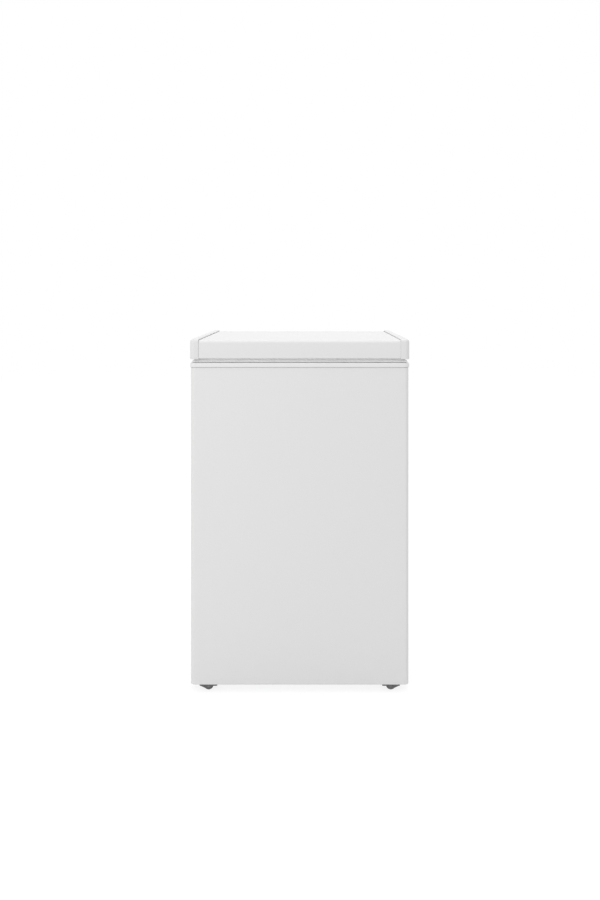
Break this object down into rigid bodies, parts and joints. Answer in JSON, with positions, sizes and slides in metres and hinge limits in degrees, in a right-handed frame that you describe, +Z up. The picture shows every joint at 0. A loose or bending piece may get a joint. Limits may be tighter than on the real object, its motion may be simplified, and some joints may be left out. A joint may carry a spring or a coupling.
{
  "type": "chest freezer",
  "caption": "Small upright-standing white chest freezer with a foamed top lid on sprung rear hinges, coated tub with a step, wire basket and rollers underneath.",
  "frame": {"origin": "on the floor, under the middle of the outline", "axes": "+X to the right seen from the front, -Y to the front, +Y to the hinges at the back, +Z up"},
  "size_m": [0.542, 0.572, 0.8704],
  "materials": {
    "white_paint": "smooth satin white coat",
    "white_plastic": "smooth semi-gloss moulded white",
    "lid_liner_plastic": "vacuum-formed white sheet",
    "tub_coating": "white coated aluminium sheet",
    "galvanised_sheet": "galvanised",
    "insulating_foam": "rigid foam",
    "evaporator_aluminium": "drawn tube",
    "coated_steel_tube": "copper-washed steel tube",
    "copper": "drawn copper",
    "black_paint": "semi-gloss black enamel",
    "black_rubber": "matte",
    "zinc_plated": "bright zinc",
    "hinge_steel": "zinc plated pressed steel",
    "spring_steel": "oiled spring steel",
    "natural_plastic": "moulded acetal",
    "black_plastic": "moulded",
    "grey_plastic": "moulded grey",
    "knob_plastic": "moulded pale grey",
    "seal_pvc": "soft pale grey",
    "magnet_strip": "filled rubber",
    "plug_rubber": "soft white",
    "coated_wire": "white plastic coated steel wire"
  },
  "bodies": {
    "cabinet": {"base_pan": "galvanised_sheet", "base_rail_left": "galvanised_sheet", "base_rail_right": "galvanised_sheet", "cabinet_anchor_plates": "galvanised_sheet", "cabinet_foam": "insulating_foam", "cabinet_wrapper": "white_paint", "cable_gland": "black_plastic", "capillary_tube": "copper", "compressor_bolts": "zinc_plated", "compressor_carrier": "galvanised_sheet", "compressor_feet": "black_paint", "compressor_grommets": "black_rubber", "compressor_shell": "black_paint", "condenser_tube": "coated_steel_tube", "discharge_tube": "copper", "drain_tube": "white_plastic", "evaporator_tube": "evaporator_aluminium", "filter_drier": "copper", "grille_brackets": "galvanised_sheet", "grille_screws": "zinc_plated", "hinge_channel_left": "hinge_steel", "hinge_channel_right": "hinge_steel", "hinge_cover_left": "white_plastic", "hinge_cover_right": "white_plastic", "hinge_pin_left": "zinc_plated", "hinge_pin_right": "zinc_plated", "hinge_screws": "zinc_plated", "hinge_spring_left": "spring_steel", "hinge_spring_right": "spring_steel", "inner_liner": "tub_coating", "rear_grille": "galvanised_sheet", "rear_panel": "galvanised_sheet", "relay_cover": "black_plastic", "roller_axles": "zinc_plated", "roller_housings": "grey_plastic", "sensor_tube": "copper", "suction_tube": "copper", "thermostat_body": "black_plastic", "top_frame": "white_plastic"},
    "lid": {"lid_panel": "white_paint", "lid_trim_left": "white_plastic", "lid_trim_right": "white_plastic", "lid_liner": "lid_liner_plastic", "lid_foam": "insulating_foam", "lid_anchor_plates": "galvanised_sheet", "lid_gasket": "seal_pvc", "gasket_magnet": "magnet_strip", "hinge_leaf_left": "hinge_steel", "hinge_leaf_right": "hinge_steel", "lid_screws": "zinc_plated"},
    "basket": {"storage_basket": "coated_wire"},
    "thermostat_knob": {"thermostat_knob": "knob_plastic", "thermostat_shaft": "zinc_plated"},
    "drain_plug": {"drain_plug": "plug_rubber"},
    "hinge_plunger_left": {"hinge_plunger_left": "natural_plastic"},
    "hinge_plunger_right": {"hinge_plunger_right": "natural_plastic"},
    "roller_front_left": {"roller_front_left": "grey_plastic"},
    "roller_front_right": {"roller_front_right": "grey_plastic"},
    "roller_rear_left": {"roller_rear_left": "grey_plastic"},
    "roller_rear_right": {"roller_rear_right": "grey_plastic"}
  },
  "joints": [
    {"name": "lid_hinge", "type": "hinge", "parent": "cabinet", "child": "lid", "pos_m": [0, 0.273, 0.8134], "axis": [-1, 0, 0], "range_deg": [0, 80], "stiffness_Nm_per_rad": 4, "springref_deg": 85.94},
    {"name": "plunger_left_slide", "type": "slide", "parent": "cabinet", "child": "hinge_plunger_left", "axis": [0, 0, 1], "range_m": [0, 0.0091], "deforming": ["hinge_spring_left"]},
    {"name": "plunger_right_slide", "type": "slide", "parent": "cabinet", "child": "hinge_plunger_right", "axis": [0, 0, 1], "range_m": [0, 0.0091], "deforming": ["hinge_spring_right"]},
    {"name": "basket_slide", "type": "slide", "parent": "cabinet", "child": "basket", "axis": [0, 1, 0], "range_m": [0, 0.2]},
    {"name": "roller_front_left_spin", "type": "hinge", "parent": "cabinet", "child": "roller_front_left", "pos_m": [-0.226, -0.2605, 0.012], "axis": [0, 1, 0], "continuous": true},
    {"name": "roller_front_right_spin", "type": "hinge", "parent": "cabinet", "child": "roller_front_right", "pos_m": [0.226, -0.2605, 0.012], "axis": [0, 1, 0], "continuous": true},
    {"name": "roller_rear_left_spin", "type": "hinge", "parent": "cabinet", "child": "roller_rear_left", "pos_m": [-0.226, 0.234, 0.012], "axis": [0, 1, 0], "continuous": true},
    {"name": "roller_rear_right_spin", "type": "hinge", "parent": "cabinet", "child": "roller_rear_right", "pos_m": [0.226, 0.234, 0.012], "axis": [0, 1, 0], "continuous": true},
    {"name": "thermostat_turn", "type": "hinge", "parent": "cabinet", "child": "thermostat_knob", "pos_m": [0.206, 0.258, 0.1184], "axis": [0, 1, 0], "range_deg": [0, 270]},
    {"name": "drain_plug_lift", "type": "slide", "parent": "cabinet", "child": "drain_plug", "axis": [0, 0, 1], "range_m": [0, 0.03]}
  ],
  "couplings": [
    {"joint": "plunger_left_slide", "follows": "lid_hinge", "m_per_rad": 0.0064451},
    {"joint": "plunger_right_slide", "follows": "lid_hinge", "m_per_rad": 0.0064451}
  ]
}
